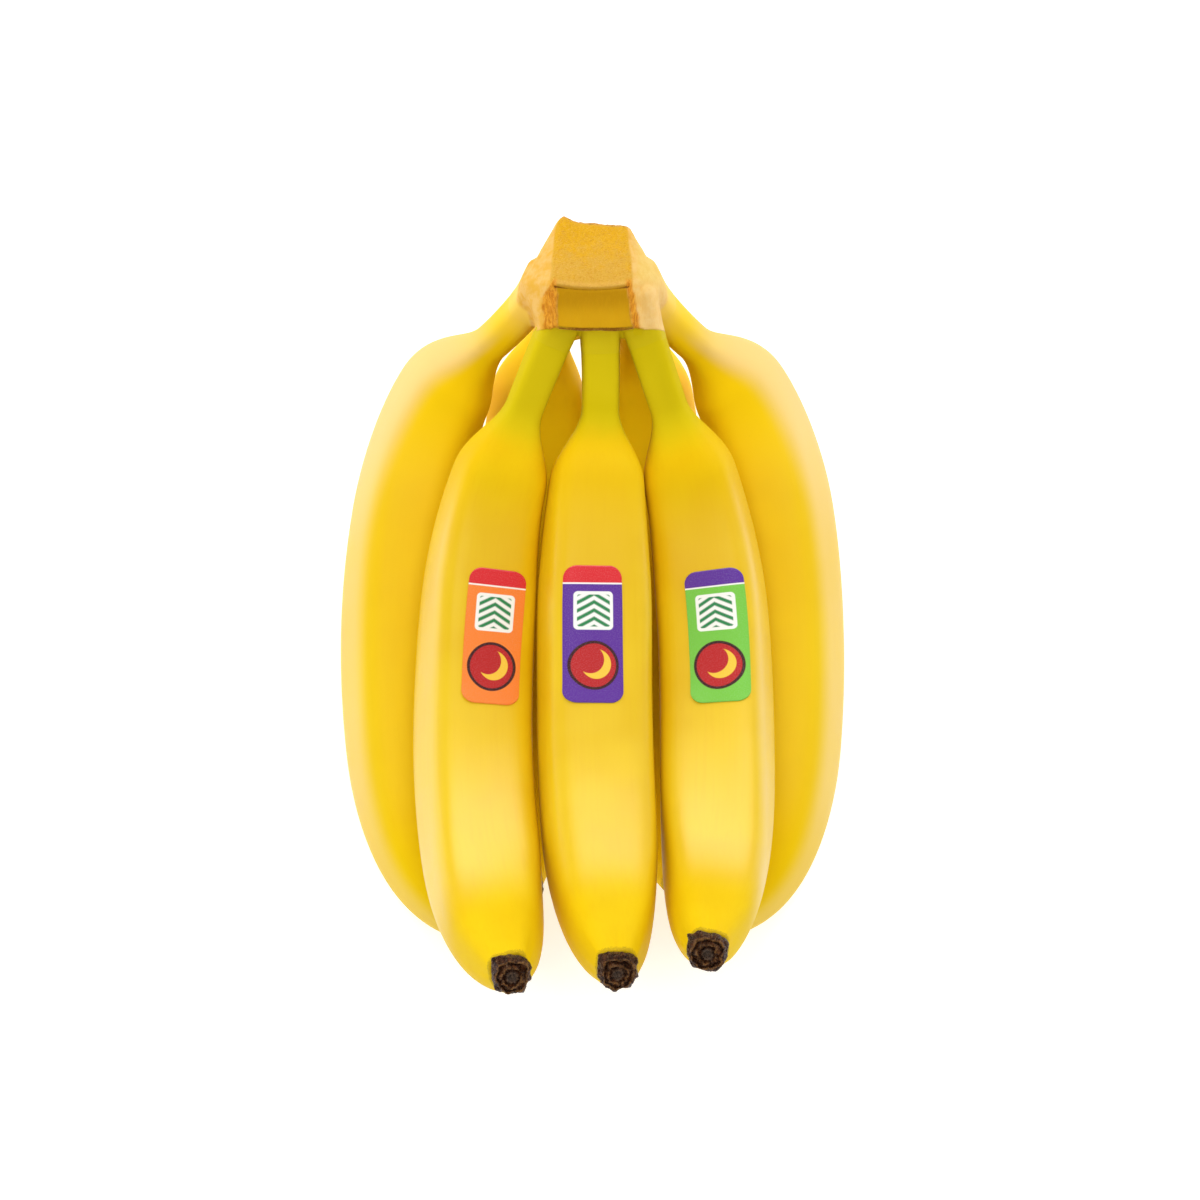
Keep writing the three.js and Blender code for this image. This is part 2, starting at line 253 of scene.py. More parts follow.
class Finger:
    """One banana: its centreline, its frames along it, and its skin."""

    def __init__(self, name, points, neck, taper, section, turn, drift, green, blush, seed, label=None):
        self.name = name
        self.neck = neck
        self.taper = taper
        self.section = section
        self.turn = math.radians(turn)
        self.drift = math.radians(drift)
        self.green = green
        self.blush = blush
        self.label = label
        self.phases = np.random.default_rng(seed).uniform(0, math.tau, 12)
        dense = curve(points, np.linspace(0, len(points) - 1, CURVE_POINTS), PULLED)
        steps = np.linalg.norm(np.diff(dense, axis=0), axis=1)
        travelled = np.concatenate([[0], np.cumsum(steps)])
        self.length = travelled[-1]
        self.stations = np.linspace(0, self.length, FRAME_STEPS + 1)
        self.centres = rows_at(self.stations, travelled, dense)
        self.tangents = unit(np.gradient(self.centres, axis=0))
        self.hollows = self.carried_hollows()

    def carried_hollows(self):
        """The hollow side faces from the belly to the chord, and is carried along without twist."""
        first = round((self.neck + CHORD_START) / self.length * FRAME_STEPS)
        belly = round((first + FRAME_STEPS) / 2)
        chord_middle = (self.centres[first] + self.centres[-1]) / 2
        hollows = np.zeros_like(self.centres)

        def carry(direction, k):
            hollows[k] = unit(direction - self.tangents[k] * (direction @ self.tangents[k]))

        carry(chord_middle - self.centres[belly], belly)
        for k in range(belly + 1, FRAME_STEPS + 1):
            carry(hollows[k - 1], k)
        for k in range(belly - 1, -1, -1):
            carry(hollows[k + 1], k)
        return hollows

    def frame(self, along):
        """Centre, tangent, hollow direction and side direction at each distance along."""
        inside = np.clip(along, 0, self.length)
        tangent = unit(rows_at(inside, self.stations, self.tangents))
        hollow = rows_at(inside, self.stations, self.hollows)
        hollow = unit(hollow - tangent * np.sum(hollow * tangent, axis=-1, keepdims=True))
        centre = rows_at(inside, self.stations, self.centres) + tangent * (along - inside)[..., None]
        return centre, tangent, hollow, np.cross(tangent, hollow)

    def mean_radius(self, along):
        belly = np.clip((along - self.neck) / (self.length - self.neck), 0, 1)
        body = BODY_RADIUS * (1 - BELLY_SWELL + BELLY_SWELL * np.sin(math.pi * belly))
        body = body * (1 - HEAD_SLIMNESS * (1 - smoothstep((along - self.neck) / HEAD_LENGTH)))
        shoulder = 1 - (1 - smoothstep((along - self.neck) / SHOULDER_LENGTH)) ** SHOULDER_FULLNESS
        stem = NECK_RADIUS + (ROOT_RADIUS - NECK_RADIUS) * np.exp(-along / ROOT_FLARE_LENGTH)
        full = stem + (body - stem) * shoulder
        taper = np.clip((self.length - along) / self.taper, 0, 1)
        return END_RADIUS + (full - END_RADIUS) * (1 - (1 - taper) ** TAPER_FULLNESS)

    def skin_radius(self, along, angle):
        """The radius with its ridges, and the slight unevenness that a grown thing has."""
        phase = self.phases
        near_neck = np.exp(-((along - self.neck) / 24) ** 2)
        near_end = np.exp(-((self.length - along) / 9) ** 2)
        sway = math.radians(2.2) * np.sin(along / 38 + phase[0])
        sway += math.radians(1.2) * np.sin(along / 15 + phase[1])
        late = smoothstep((along - self.length + END_REGION) / (END_REGION - END_SETTLED))
        sharpness = RIDGE_SHARPNESS + (NECK_SHARPNESS - RIDGE_SHARPNESS) * near_neck
        sharpness = sharpness + (END_SHARPNESS - sharpness) * late
        share = self.section.radius(angle - self.turn - sway - self.drift * late ** 2, sharpness)
        uneven = 0.0045 * np.sin(2 * angle + along / 31 + phase[2])
        uneven += 0.0035 * np.sin(3 * angle - along / 23 + phase[3])
        uneven += 0.003 * np.sin(along / 12 + phase[4] + np.sin(angle + phase[5]))
        creases = 0.002 * np.sin(7 * angle + phase[6] + along / 40)
        creases += 0.001 * np.sin(12 * angle + phase[7] - along / 26)
        puckers = 0.012 * np.sin(10 * (angle - self.turn) + phase[8]) + 0.007 * np.sin(17 * angle + phase[9])
        return self.mean_radius(along) * share * (1 + uneven + creases * near_neck + puckers * near_end)

    def around(self, along, angle, radius):
        """A point in the hand's frame at a distance along, an angle and a radius."""
        centre, _, hollow, side = self.frame(along)
        radius = np.asarray(radius)[..., None]
        return centre + hollow * radius * np.cos(angle)[..., None] + side * radius * np.sin(angle)[..., None]

    def skin(self, along, angle, lift=0.0):
        return self.around(along, angle, self.skin_radius(along, angle) + lift)


# Name, centreline, lengths of the neck and of the taper, section, its turn and its drift towards the
# end in degrees, how green the neck is, how pale its start and how much painted sheen and painted
# light its outer flank gets, seed, label's place
FINGERS = [
    Finger("upper_left", UPPER_LEFT, 34, 60, BROAD, 4, 20, 1.0, 0.0, 11, label=(104.5, 0)),
    Finger("upper_middle", UPPER_MIDDLE, 31, 60, BROAD, 2, 0, 1.0, 0.0, 12, label=(98.5, 9)),
    Finger("upper_right", UPPER_RIGHT, 34, 78, BROAD, -5, -15, 1.0, 0.0, 13, label=(107, -14)),
    Finger("lower_outer_left", LOWER_OUTER_LEFT, 34, 60, EVEN, -20, 0, 0.0, 1.0, 14),
    Finger("lower_inner_left", LOWER_INNER_LEFT, 25, 60, EVEN, -6, 0, 0.1, 0.1, 15),
    Finger("lower_inner_right", LOWER_INNER_RIGHT, 25, 60, EVEN, 3, 0, 0.1, 0.1, 16),
    Finger("lower_outer_right", LOWER_OUTER_RIGHT, 34, 60, EVEN, 20, 0, 0.0, 1.0, 17),
]


def noise_at(spots):
    """Smooth noise about 0, at each of an array of points."""
    values = [noise.noise(Vector(spot)) for spot in spots.reshape(-1, 3)]
    return np.array(values).reshape(spots.shape[:-1])


def lie_down(points):
    """From the hand's own frame to where it lies, in metres."""
    x, y, z = points[..., 0], points[..., 1], points[..., 2]
    low_y = y * math.cos(LEAN) - z * math.sin(LEAN) + MIDDLE_Y
    low_z = y * math.sin(LEAN) + z * math.cos(LEAN) + REST_HEIGHT
    return np.stack([x, low_y, low_z], axis=-1) * MM


def press_flat(points):
    """What would sink into the surface is flattened on it, with a soft edge."""
    z = points[..., 2] / MM
    pressed = 0.5 * (z + np.sqrt(z * z + PRESS_SOFTNESS ** 2))
    share = smoothstep((PRESS_REACH - z) / PRESS_REACH)
    result = points.copy()
    result[..., 2] = (z + (pressed - z) * share) * MM
    return result


# ---------- meshes ----------


def placed(name, data):
    """A new object in the scene."""
    made = bpy.data.objects.new(name, data)
    bpy.context.scene.collection.objects.link(made)
    return made


def make_piece(name, vertices, faces, material, attributes, node):
    """A smooth mesh that shows in place of one of the model's nodes."""
    mesh = bpy.data.meshes.new(name)
    mesh.from_pydata([tuple(v) for v in vertices], [], [tuple(f) for f in faces])
    for key, values in attributes.items():
        values = np.asarray(values, np.float32)
        kind, field = ("FLOAT_VECTOR", "vector") if values.ndim == 2 else ("FLOAT", "value")
        mesh.attributes.new(key, kind, "POINT").data.foreach_set(field, values.ravel())
    mesh.polygons.foreach_set("use_smooth", [True] * len(mesh.polygons))
    mesh.materials.append(material)
    mesh.update()
    piece = placed(name, mesh)
    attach(piece, BODY)
    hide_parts(node)


def ringed(finger, along, angle, radius, end_places):
    """Rings of points about a finger's centreline, then a point on the centreline to close each end."""
    rings = finger.around(along, angle, radius)
    ends = finger.around(np.array(end_places), np.zeros(2), np.zeros(2))
    return np.vstack([rings.reshape(-1, 3), ends]), ringed_faces(*along.shape)


def ringed_faces(ring_count, sides):
    """Quads between rings, and a fan at each end to the two points that follow the rings."""
    faces = []
    start = ring_count * sides
    end = start + 1
    for j in range(sides):
        following = (j + 1) % sides
        last = (ring_count - 1) * sides
        faces.append((start, following, j))
        faces.append((end, last + j, last + following))
        for i in range(ring_count - 1):
            a = i * sides
            faces.append((a + j, a + following, a + sides + following, a + sides + j))
    return faces


# ---------- shader nodes ----------


class Look:
    """A material, and short ways to add nodes to it."""

    def __init__(self, name):
        self.material = bpy.data.materials.new(name)
        self.material.use_nodes = True
        self.tree = self.material.node_tree
        self.tree.nodes.clear()
        self.output = self.tree.nodes.new("ShaderNodeOutputMaterial")

    def node(self, kind, inputs, output=0, **settings):
        """One output of a new node. Each input takes a number, a colour's code or another node's output."""
        made = self.tree.nodes.new(kind)
        for key, value in settings.items():
            setattr(made, key, value)
        for key, value in inputs.items():
            if isinstance(value, bpy.types.NodeSocket):
                self.tree.links.new(value, made.inputs[key])
            else:
                made.inputs[key].default_value = srgb(value) if isinstance(value, str) else value
        return made.outputs[output]

    def attribute(self, name, output="Fac"):
        return self.node("ShaderNodeAttribute", {}, output, attribute_name=name)

    def math(self, operation, a, b=0.0, clamp=False):
        return self.node("ShaderNodeMath", {0: a, 1: b}, operation=operation, use_clamp=clamp)

    def add(self, a, b):
        return self.math("ADD", a, b)

    def less(self, a, b):
        return self.math("SUBTRACT", a, b)

    def times(self, a, b):
        return self.math("MULTIPLY", a, b)

    def ruffled(self, value, texture, reach):
        """A value moved up and down by a texture, by half of reach each way."""
        return self.add(value, self.times(self.less(texture, 0.5), reach))

    def mix(self, share, a, b):
        """From colour a to colour b."""
        return self.node("ShaderNodeMix", {0: share, 6: a, 7: b}, 2, data_type="RGBA")

    def ramp(self, texture, low, high, a, b):
        """From colour a to colour b where a texture climbs from low to high."""
        return self.mix(self.spread(texture, low, high), a, b)

    def tint(self, colour, texture, low, high, most, code):
        """A second colour laid on where a texture climbs from low to high, by most at its top."""
        return self.mix(self.spread(texture, low, high, 0, most), colour, code)

    def blend(self, share, a, b):
        """From number a to number b."""
        return self.node("ShaderNodeMix", {0: share, 2: a, 3: b}, data_type="FLOAT")

    def axis(self, vector, index):
        return self.node("ShaderNodeSeparateXYZ", {0: vector}, index)

    def scaled(self, vector, scale, shift=(0, 0, 0)):
        return self.node("ShaderNodeMapping", {"Vector": vector, "Scale": scale, "Location": shift})

    def noise(self, vector, scale, detail, roughness, distortion=0.0):
        inputs = {"Scale": scale, "Detail": detail, "Roughness": roughness, "Distortion": distortion}
        return self.node("ShaderNodeTexNoise", {"Vector": vector, **inputs}, "Fac")

    def cells(self, vector, scale):
        return self.node("ShaderNodeTexVoronoi", {"Vector": vector, "Scale": scale}, "Distance")

    def spread(self, value, low, high, to_low=0.0, to_high=1.0):
        """A value between low and high, eased on to the range from to_low to to_high."""
        inputs = {"Value": value, "From Min": low, "From Max": high, "To Min": to_low, "To Max": to_high}
        return self.node("ShaderNodeMapRange", inputs, "Result", interpolation_type="SMOOTHSTEP")

    def bump(self, height, distance, strength):
        inputs = {"Height": height, "Distance": distance, "Strength": strength}
        return self.node("ShaderNodeBump", inputs, "Normal")

    def surface(self, colour, roughness, normal, **others):
        inputs = {"Base Color": colour, "Roughness": roughness, "Normal": normal}
        inputs.update({key.replace("_", " "): value for key, value in others.items()})
        shader = self.node("ShaderNodeBsdfPrincipled", inputs)
        self.tree.links.new(shader, self.output.inputs["Surface"])


# ---------- materials ----------


def skin_layers(look):
    """Colour, roughness and bump height of banana skin, from the mesh's attributes."""
    place = look.attribute("straight", "Vector")
    green = look.attribute("green")

    clouds = look.noise(place, 0.035, 2, 0.5)
    blotch = look.noise(place, 0.14, 2, 0.5)
    sheen = look.noise(place, 0.07, 2, 0.5)
    pores = look.noise(place, 2.4, 3, 0.6)
    streaks = look.noise(look.scaled(place, (1, 1, 0.035)), 0.9, 4, 0.6)
    fibres = look.noise(look.scaled(place, (1, 1, 0.05)), 3.2, 3, 0.6)
    specks = look.cells(look.scaled(place, (1, 1, 0.45), (31, 7, 3)), 0.3)

    cloudy = look.spread(clouds, 0.36, 0.66)
    golden = look.mix(cloudy, "e3b705", "e7bf09")
    lemon = look.mix(cloudy, "e3bb08", "e8c30e")
    colour = look.mix(look.attribute("lemon"), golden, lemon)
    colour = look.tint(colour, streaks, 0.42, 0.75, 0.18, "dfae06")
    # Painted light: a lighter yellow where the bunch's shade falls, over all of the inner lower fingers and
    # on the outer ones, most on their inner flank near the neck
    colour = look.mix(look.attribute("painted_light"), colour, "f4cd0c")
    unripe = look.ramp(clouds, 0.4, 0.6, "cbb40a", "d2bb10")
    unripe_share = look.spread(look.ruffled(green, blotch, 0.25), 0.05, 0.95)
    colour = look.mix(look.times(unripe_share, look.spread(green, 0.0, 0.12)), colour, unripe)
    # A paler root on the outer lower fingers, drawn further along the neck as painted light where the crown
    # shades it
    colour = look.mix(look.times(look.attribute("pale"), 0.7), colour, "f7cf70")
    # Painted sheen: a pale cream band on the upper outer flank of the outer lower fingers, where side light
    # would be mirrored
    colour = look.mix(look.times(look.attribute("painted_sheen"), 0.6), colour, "f2d49f")
    colour = look.tint(colour, look.ruffled(look.attribute("tip"), pores, 0.5), 0.85, 1.0, 0.5, "8a6a1c")
    colour = look.mix(look.spread(specks, 0.03, 0.06, 0.1, 0.0), colour, "c08f1a")

    roughness = look.add(look.spread(pores, 0.3, 0.7, 0.0, 0.05), look.spread(sheen, 0.35, 0.65, 0.32, 0.38))
    roughness = look.add(roughness, look.times(green, 0.14))
    roughness = look.add(roughness, look.spread(look.attribute("gloss"), 0.0, 1.0, 0.2, 0.0))
    lengthwise = look.add(look.times(fibres, 0.25), look.times(streaks, 0.3))
    lengthwise = look.times(lengthwise, look.spread(green, 0.0, 1.0, 1.0, 0.25))
    height = look.add(lengthwise, look.times(pores, 0.3))
    return colour, roughness, height


def skin_material():
    look = Look("banana_skin")
    colour, roughness, height = skin_layers(look)
    normal = look.bump(height, 0.0001, 0.45)
    shine = look.spread(look.attribute("gloss"), 0.0, 1.0, 0.05, 0.7)
    look.surface(colour, roughness, normal, Specular_IOR_Level=shine)
    return look.material


def crown_material():
    """Cut flesh with its fibres, the smooth facet under it, bark, and the skin that the necks begin with."""
    look = Look("crown_flesh")
    skin, skin_roughness, skin_height = skin_layers(look)
    hand = look.attribute("hand", "Vector")
    smooth = look.attribute("smooth")
    bark = look.attribute("bark")

    mottle = look.noise(hand, 0.32, 3, 0.6)
    grain = look.noise(hand, 3.4, 3, 0.6)
    fluff = look.noise(look.scaled(hand, (1, 0.55, 1)), 1.7, 5, 0.7, 0.6)
    strands = look.noise(look.scaled(hand, (1, 0.12, 1)), 2.4, 4, 0.65, 0.3)
    nap = look.noise(look.scaled(hand, (0.45, 1, 1), (5, 0, 9)), 3.0, 3, 0.6)
    rough_bark = look.noise(look.scaled(hand, (1, 0.3, 1)), 1.0, 5, 0.75, 0.8)
    ends = look.cells(hand, 0.75)

    side = look.ramp(mottle, 0.35, 0.65, "e8b040", "eec06a")
    # Paler cream towards the right flank: partly that flank's own colour, partly painted light making up for
    # the weaker light on that side
    side = look.tint(side, look.axis(hand, 0), 9.0, 17.0, 0.45, "fbdc9e")
    side = look.tint(side, strands, 0.45, 0.75, 0.35, "e8a636")
    side = look.mix(look.times(look.attribute("fresh"), 0.35), side, "e6c84e")
    upwards = look.math("DIVIDE", look.less(look.axis(hand, 1), WAIST[0]), 18.0, clamp=True)
    amber = look.spread(look.ruffled(upwards, mottle, 1.6), 0.15, 0.9)
    fuzzy = look.mix(amber, "dba93b", "e2aa0c")
    fuzzy = look.tint(fuzzy, fluff, 0.42, 0.72, 0.45, "cf8a10")
    fuzzy = look.tint(fuzzy, grain, 0.5, 0.72, 0.5, "f3c871")
    fuzzy = look.tint(fuzzy, nap, 0.52, 0.7, 0.55, "c27d12")
    waxy = look.ramp(look.attribute("low"), 0.0, 1.0, "bd8900", "d39e0a")
    waxy = look.tint(waxy, strands, 0.45, 0.75, 0.15, "e0ad12")
    husk = look.ramp(rough_bark, 0.35, 0.65, "c97714", "f0aa32")
    end_grain = look.ramp(ends, 0.12, 0.4, "8b5a1e", "d9a552")
    end_grain = look.tint(end_grain, grain, 0.4, 0.7, 0.5, "b4762c")

    flesh = look.mix(look.attribute("cut"), side, fuzzy)
    flesh = look.mix(look.attribute("stump"), flesh, end_grain)
    flesh = look.mix(smooth, flesh, waxy)
    flesh = look.mix(bark, flesh, husk)
    # Painted highlight: a lighter band along the cut's edge over the smooth facet
    flesh = look.mix(look.times(look.attribute("rim"), 0.12), flesh, "f9cd84")
    # Painted shade under the overhanging edges and in the web between the necks, and the dark cracks beside
    # the bark strips
    flesh = look.tint(flesh, look.ruffled(look.attribute("shade_and_cracks"), fluff, 0.7), 0.35, 0.85, 0.9, "7a470a")
    share = look.spread(look.ruffled(look.attribute("flesh"), mottle, 0.3), 0.15, 0.85)
    colour = look.mix(share, skin, flesh)

    dry = look.spread(look.add(smooth, look.times(fluff, 0.2)), 0.1, 1.0, 0.78, 0.5)
    roughness = look.blend(share, skin_roughness, dry)
    furry = look.add(look.times(fluff, 3.2), look.times(grain, 1.2))
    furry = look.add(furry, look.times(strands, 1.6))
    height = look.blend(smooth, furry, strands)
    height = look.blend(bark, height, look.times(rough_bark, 6.0))
    height = look.blend(share, skin_height, height)
    normal = look.bump(height, 0.00012, 0.8)
    look.surface(
        colour, roughness, normal, Specular_IOR_Level=0.18,
        Subsurface_Weight=0.1, Subsurface_Radius=(1.0, 0.55, 0.15), Subsurface_Scale=0.002,
    )
    return look.material


def blossom_material():
    """Dry brown tissue: dark patches at random, painted highlights on the ring crests and as fine glints,
    and a grey heart.
    """
    look = Look("dried_flower")
    place = look.attribute("straight", "Vector")
    crumple = look.noise(place, 0.8, 4, 0.65, 0.8)
    fine = look.noise(place, 2.2, 4, 0.7, 0.5)
    colour = look.ramp(crumple, 0.4, 0.66, "341708", "6c3b1c")
    # Painted highlight: the ring crests are drawn in a lighter brown, as if catching the light
    wear_and_highlight = look.spread(look.attribute("crest"), 0.4, 1.0)
    wear_and_highlight = look.times(wear_and_highlight, look.spread(crumple, 0.38, 0.58, 0.1, 0.9))
    colour = look.mix(wear_and_highlight, colour, "ad7a44")
    # Painted glints: fine lighter specks
    colour = look.tint(colour, fine, 0.56, 0.7, 0.7, "c09a6c")
    colour = look.mix(look.spread(fine, 0.3, 0.42, 0.8, 0.0), colour, "1c0c05")
    colour = look.mix(look.times(look.attribute("heart"), 0.55), colour, "8a7767")
    roughness = look.spread(fine, 0.3, 0.7, 0.18, 0.45)
    normal = look.bump(look.add(look.times(crumple, 2.0), fine), 0.0013, 1.0)
    look.surface(colour, roughness, normal, Specular_IOR_Level=0.55)
    return look.material


def label_material(name, ground, band):
    """A printed sticker: a coloured ground, an end band, a striped panel and a disc with a crescent."""
    look = Look(name)
    place = look.attribute("label_place", "Vector")
    x, y = look.axis(place, 0), look.axis(place, 1)

    def within(value, edge):
        return look.spread(value, edge - PRINT_BLUR, edge + PRINT_BLUR, 1.0, 0.0)

    def length(dx, dy):
        return look.math("SQRT", look.add(look.times(dx, dx), look.times(dy, dy)))

    def disc(middle_x, middle_y):
        return length(look.less(x, middle_x), look.less(y, middle_y))

    def panel(half_x, half_y, corner):
        """Signed distance to a rounded rectangle round the panel's middle."""
        dx = look.math("MAXIMUM", look.less(look.math("ABSOLUTE", x), half_x - corner), 0.0)
        dy = look.math("ABSOLUTE", look.less(y, PANEL_MIDDLE))
        dy = look.math("MAXIMUM", look.less(dy, half_y - corner), 0.0)
        return look.less(length(dx, dy), corner)

    colour = look.mix(within(look.times(y, -1.0), -BAND_EDGE), ground, band)
    seam = within(look.math("ABSOLUTE", look.less(y, BAND_EDGE)), 0.22)
    colour = look.mix(seam, colour, "f6f2ea")

    colour = look.mix(within(panel(5.6, 5.4, 1.2), 0.0), colour, "f4f3ec")
    chevron = look.add(look.add(y, 40.0), look.times(look.math("ABSOLUTE", x), STRIPE_SLOPE))
    wave = look.math("FRACT", look.math("DIVIDE", chevron, STRIPE_PITCH))
    stripe = within(look.math("ABSOLUTE", look.less(wave, 0.5)), 0.24)
    colour = look.mix(look.times(stripe, within(panel(4.7, 4.5, 0.6), 0.0)), colour, "1d7f45")

    ring = disc(0.0, DISC_MIDDLE)
    colour = look.mix(within(ring, 7.1), colour, "3a0c10")
    colour = look.mix(within(ring, 6.3), colour, "b81a1c")
    colour = look.mix(within(disc(-0.6, DISC_MIDDLE + 0.4), 4.3), colour, "f3c63a")
    colour = look.mix(within(disc(1.1, DISC_MIDDLE + 1.7), 4.0), colour, "b81a1c")

    print_grain = look.noise(place, 3.0, 2, 0.5)
    colour = look.tint(colour, print_grain, 0.4, 0.8, 0.06, "ffffff")
    roughness = look.spread(print_grain, 0.3, 0.7, 0.3, 0.4)
    normal = look.bump(look.noise(place, 0.5, 2, 0.5), 0.00015, 0.4)
    look.surface(colour, roughness, normal, Coat_Weight=0.25, Coat_Roughness=0.2, Specular_IOR_Level=0.45)
    return look.material


def floor_material():
    look = Look("floor")
    grain = look.noise(look.node("ShaderNodeTexCoord", {}, "Object"), 60, 3, 0.6)
    colour = look.ramp(grain, 0.3, 0.7, "f2f3f5", "f5f6f8")
    roughness = look.spread(grain, 0.3, 0.7, 0.75, 0.85)
    look.surface(
        colour, roughness, look.bump(grain, 0.0002, 0.1), Specular_IOR_Level=0.2,
        Emission_Color=(1, 1, 1, 1), Emission_Strength=0.42,
    )
    return look.material


# ---------- the fingers ----------


def skin_stations(finger):
    """Distances of the rings, closer together at the neck and at the end."""
    stops = (finger.neck + SHOULDER_LENGTH, finger.length - END_STRETCH, finger.length)
    stations = [0.0]
    for stop, step in zip(stops, (NECK_STEP, BODY_STEP, END_STEP)):
        start = stations[-1]
        stations.extend(np.linspace(start, stop, round((stop - start) / step) + 1)[1:])
    return np.array(stations)


def skin_attributes(finger, along, angle, radius):
    """What the skin's material reads at each vertex.

    straight: the place for its textures, as if the finger were straight. green: the neck's unripe part.
    pale: a paler root on the outer lower fingers, drawn further along the neck as painted light where the
    crown shades it. painted_sheen: a painted pale sheen on their upper outer flank. painted_light: a
    lighter yellow painted where shade falls, over all of the inner lower fingers and on the outer ones, most
    on their inner flank near the neck. lemon: the half towards the flower. tip: the brown rim there. gloss:
    shine.
    """
    ones = np.ones(np.shape(along))
    shift = finger.phases[:3] * 40
    points = finger.around(along, angle, radius)
    centre = finger.frame(along)[0]
    past_neck = along - finger.neck
    early = 1 - smoothstep((past_neck - 20) / 60)
    upward = (points - centre)[..., 2] / radius
    outward = np.sign(centre[..., 0]) * (points - centre)[..., 0] / radius
    outward = smoothstep((outward - 0.45 + 0.3 * early) / 0.4) * smoothstep((along - 16) / 30)

    # Painted light: the inner lower fingers, deep in the bunch's shade, are painted lighter all over, and
    # the outer ones most on their inner flank near the neck, where the upper fingers shade them
    if finger.name.startswith("lower_inner"):
        gloss = 0 * ones
        painted_light = ones
    else:
        gloss = smoothstep((past_neck - 6) / 50) * smoothstep((finger.length - 14 - along) / 34)
        gloss = gloss * (1 - 0.5 * finger.blush)
        painted_light = finger.blush * np.maximum(0.35, (1 - outward) * early)
    return {
        "straight": np.stack([
            radius * np.cos(angle) + shift[0], radius * np.sin(angle) + shift[1], along + shift[2],
        ], axis=-1),
        "green": finger.green * smoothstep((18 - past_neck) / 20),
        "pale": finger.blush * smoothstep((26 - along) / 20),
        "lemon": smoothstep((along / finger.length - 0.4) / 0.35),
        "gloss": gloss,
        # Painted sheen on the upper outer flank of the outer lower fingers
        "painted_sheen": finger.blush * outward * (0.42 + 0.58 * early) * smoothstep((upward + 0.6) / 0.6),
        "painted_light": painted_light,
        "tip": smoothstep((along - finger.length + 7) / 7) ** 2,
    }


def build_skin(finger, material):
    stations = skin_stations(finger)
    angles = np.linspace(0, math.tau, SKIN_SIDES, endpoint=False)
    along, angle = np.meshgrid(stations, angles, indexing="ij")
    radius = finger.skin_radius(along, angle)
    for past, lip_radius in SKIN_LIP:
        along = np.vstack([along, np.full(SKIN_SIDES, finger.length + past)])
        angle = np.vstack([angle, angles])
        radius = np.vstack([radius, radius[len(stations) - 1] * (lip_radius / END_RADIUS)])
    vertices, faces = ringed(finger, along, angle, radius, (0, finger.length - CUP_DEPTH))
    values = skin_attributes(finger, along.ravel(), angle.ravel(), radius.ravel())
    for key, column in values.items():
        values[key] = np.concatenate([column, column[:1], column[-1:]])
    vertices = press_flat(lie_down(vertices))
    node = f"banana_{finger.name}"
    make_piece(f"skin_{finger.name}", vertices, faces, material, values, node)


# ---------- the dried flowers ----------

# The flower's square side faces this way, with its horn at one corner, in the hand's frame
SQUARE_DIRECTION = np.array([0.1, 1.0, 0.2])
HORN_DIRECTION = np.array([-1.0, 0.95, 0.2])
HORN_HEIGHT = 1.2
SQUARENESS = 3.6


def ring_profile(ring):
    """Distance past the skin's end, and radius, of the flower at a place among its rings."""
    return np.moveaxis(curve(BLOSSOM_RINGS, ring, JOINED), -1, 0)


def squared(angle):
    """A round outline as 1, with the upper half drawn out towards two corners."""
    upper = smoothstep(0.5 + np.cos(angle))
    corner = (np.abs(np.cos(angle)) ** SQUARENESS + np.abs(np.sin(angle)) ** SQUARENESS) ** (-1 / SQUARENESS)
    return 1 + (corner - 1) * upper


